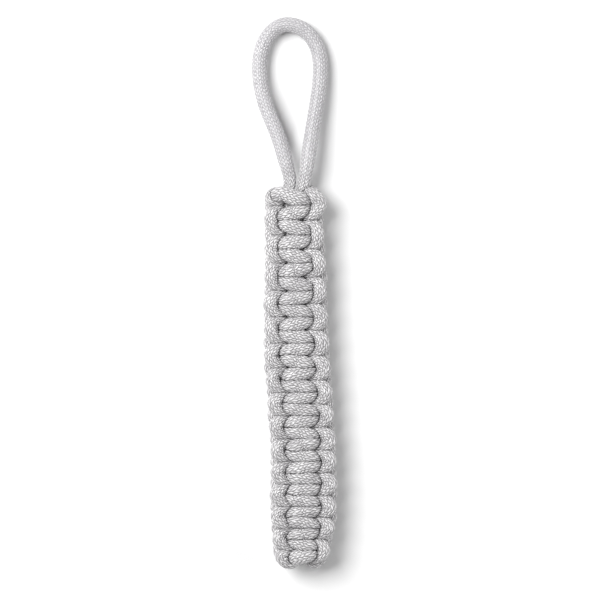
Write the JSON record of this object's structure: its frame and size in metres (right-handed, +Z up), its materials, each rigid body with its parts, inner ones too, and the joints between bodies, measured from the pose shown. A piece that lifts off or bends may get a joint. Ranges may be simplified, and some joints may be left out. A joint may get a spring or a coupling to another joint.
{
  "type": "cord lanyard",
  "caption": "Flat bar of square knots tied in braided cord, with a teardrop hanging loop of the same cord at one end.",
  "frame": {"origin": "under the middle of the whole lanyard as it lies flat, on the surface that it lies on", "axes": "+Y along the bar from the knots to the hanging loop, +X across the bar, +Z up, away from the surface"},
  "size_m": [0.0206, 0.1402, 0.0104],
  "materials": {
    "braided_cord": "glossy braided nylon sheath, light silver grey",
    "inner_yarn": "white twisted nylon yarn",
    "melted_end": "nylon melted to a hard smooth bead, grey"
  },
  "bodies": {
    "knot_01": {"knot_01_front_cord": "braided_cord", "knot_01_rear_cord": "braided_cord", "knot_01_core_cords": "braided_cord", "sealed_end_right": "melted_end", "sealed_end_left": "melted_end"},
    "knot_02": {"knot_02_front_cord": "braided_cord", "knot_02_rear_cord": "braided_cord", "knot_02_core_cords": "braided_cord"},
    "knot_03": {"knot_03_front_cord": "braided_cord", "knot_03_rear_cord": "braided_cord", "knot_03_core_cords": "braided_cord"},
    "knot_04": {"knot_04_front_cord": "braided_cord", "knot_04_rear_cord": "braided_cord", "knot_04_core_cords": "braided_cord"},
    "knot_05": {"knot_05_front_cord": "braided_cord", "knot_05_rear_cord": "braided_cord", "knot_05_core_cords": "braided_cord"},
    "knot_06": {"knot_06_front_cord": "braided_cord", "knot_06_rear_cord": "braided_cord", "knot_06_core_cords": "braided_cord"},
    "knot_07": {"knot_07_front_cord": "braided_cord", "knot_07_rear_cord": "braided_cord", "knot_07_core_cords": "braided_cord"},
    "knot_08": {"knot_08_front_cord": "braided_cord", "knot_08_rear_cord": "braided_cord", "knot_08_core_cords": "braided_cord"},
    "knot_09": {"knot_09_front_cord": "braided_cord", "knot_09_rear_cord": "braided_cord", "knot_09_core_cords": "braided_cord"},
    "knot_10": {"knot_10_front_cord": "braided_cord", "knot_10_rear_cord": "braided_cord", "knot_10_core_cords": "braided_cord"},
    "knot_11": {"knot_11_front_cord": "braided_cord", "knot_11_rear_cord": "braided_cord", "knot_11_core_cords": "braided_cord"},
    "knot_12": {"knot_12_front_cord": "braided_cord", "knot_12_rear_cord": "braided_cord", "knot_12_core_cords": "braided_cord"},
    "knot_13": {"knot_13_front_cord": "braided_cord", "knot_13_rear_cord": "braided_cord", "knot_13_core_cords": "braided_cord"},
    "knot_14": {"knot_14_front_cord": "braided_cord", "knot_14_rear_cord": "braided_cord", "knot_14_core_cords": "braided_cord"},
    "knot_15": {"knot_15_front_cord": "braided_cord", "knot_15_rear_cord": "braided_cord", "knot_15_core_cords": "braided_cord", "lower_turns": "braided_cord"},
    "hanging_loop": {"loop_sheath": "braided_cord", "loop_inner_yarns": "inner_yarn"}
  },
  "joints": [
    {"name": "bend_07_08", "type": "hinge", "parent": "knot_08", "child": "knot_07", "pos_m": [0.00035, -0.02225, 0.0052], "axis": [1, 0, 0], "range_deg": [-12, 12]},
    {"name": "bend_06_07", "type": "hinge", "parent": "knot_07", "child": "knot_06", "pos_m": [0.00035, -0.01603, 0.0052], "axis": [1, 0, 0], "range_deg": [-12, 12]},
    {"name": "bend_05_06", "type": "hinge", "parent": "knot_06", "child": "knot_05", "pos_m": [0.00035, -0.00964, 0.0052], "axis": [1, 0, 0], "range_deg": [-12, 12]},
    {"name": "bend_04_05", "type": "hinge", "parent": "knot_05", "child": "knot_04", "pos_m": [0.00035, -0.00304, 0.0052], "axis": [1, 0, 0], "range_deg": [-12, 12]},
    {"name": "bend_03_04", "type": "hinge", "parent": "knot_04", "child": "knot_03", "pos_m": [0.00035, 0.00378, 0.0052], "axis": [1, 0, 0], "range_deg": [-12, 12]},
    {"name": "bend_02_03", "type": "hinge", "parent": "knot_03", "child": "knot_02", "pos_m": [0.00035, 0.01083, 0.0052], "axis": [1, 0, 0], "range_deg": [-12, 12]},
    {"name": "bend_01_02", "type": "hinge", "parent": "knot_02", "child": "knot_01", "pos_m": [0.00035, 0.01815, 0.0052], "axis": [1, 0, 0], "range_deg": [-12, 12]},
    {"name": "bend_08_09", "type": "hinge", "parent": "knot_08", "child": "knot_09", "pos_m": [0.00035, -0.02832, 0.0052], "axis": [-1, 0, 0], "range_deg": [-12, 12]},
    {"name": "bend_09_10", "type": "hinge", "parent": "knot_09", "child": "knot_10", "pos_m": [0.00035, -0.03424, 0.0052], "axis": [-1, 0, 0], "range_deg": [-12, 12]},
    {"name": "bend_10_11", "type": "hinge", "parent": "knot_10", "child": "knot_11", "pos_m": [0.00035, -0.04005, 0.0052], "axis": [-1, 0, 0], "range_deg": [-12, 12]},
    {"name": "bend_11_12", "type": "hinge", "parent": "knot_11", "child": "knot_12", "pos_m": [0.00035, -0.04577, 0.0052], "axis": [-1, 0, 0], "range_deg": [-12, 12]},
    {"name": "bend_12_13", "type": "hinge", "parent": "knot_12", "child": "knot_13", "pos_m": [0.00035, -0.05142, 0.0052], "axis": [-1, 0, 0], "range_deg": [-12, 12]},
    {"name": "bend_13_14", "type": "hinge", "parent": "knot_13", "child": "knot_14", "pos_m": [0.00035, -0.05701, 0.0052], "axis": [-1, 0, 0], "range_deg": [-12, 12]},
    {"name": "bend_14_15", "type": "hinge", "parent": "knot_14", "child": "knot_15", "pos_m": [0.00035, -0.06257, 0.0052], "axis": [-1, 0, 0], "range_deg": [-12, 12]},
    {"name": "loop_fold", "type": "hinge", "parent": "knot_01", "child": "hanging_loop", "pos_m": [0.00035, 0.0279, 0.0052], "axis": [1, 0, 0], "range_deg": [-80, 80]}
  ],
  "couplings": [
    {"joint": "bend_06_07", "follows": "bend_07_08", "ratio": 1},
    {"joint": "bend_05_06", "follows": "bend_07_08", "ratio": 1},
    {"joint": "bend_04_05", "follows": "bend_07_08", "ratio": 1},
    {"joint": "bend_03_04", "follows": "bend_07_08", "ratio": 1},
    {"joint": "bend_02_03", "follows": "bend_07_08", "ratio": 1},
    {"joint": "bend_01_02", "follows": "bend_07_08", "ratio": 1},
    {"joint": "bend_08_09", "follows": "bend_07_08", "ratio": 1},
    {"joint": "bend_09_10", "follows": "bend_07_08", "ratio": 1},
    {"joint": "bend_10_11", "follows": "bend_07_08", "ratio": 1},
    {"joint": "bend_11_12", "follows": "bend_07_08", "ratio": 1},
    {"joint": "bend_12_13", "follows": "bend_07_08", "ratio": 1},
    {"joint": "bend_13_14", "follows": "bend_07_08", "ratio": 1},
    {"joint": "bend_14_15", "follows": "bend_07_08", "ratio": 1}
  ]
}
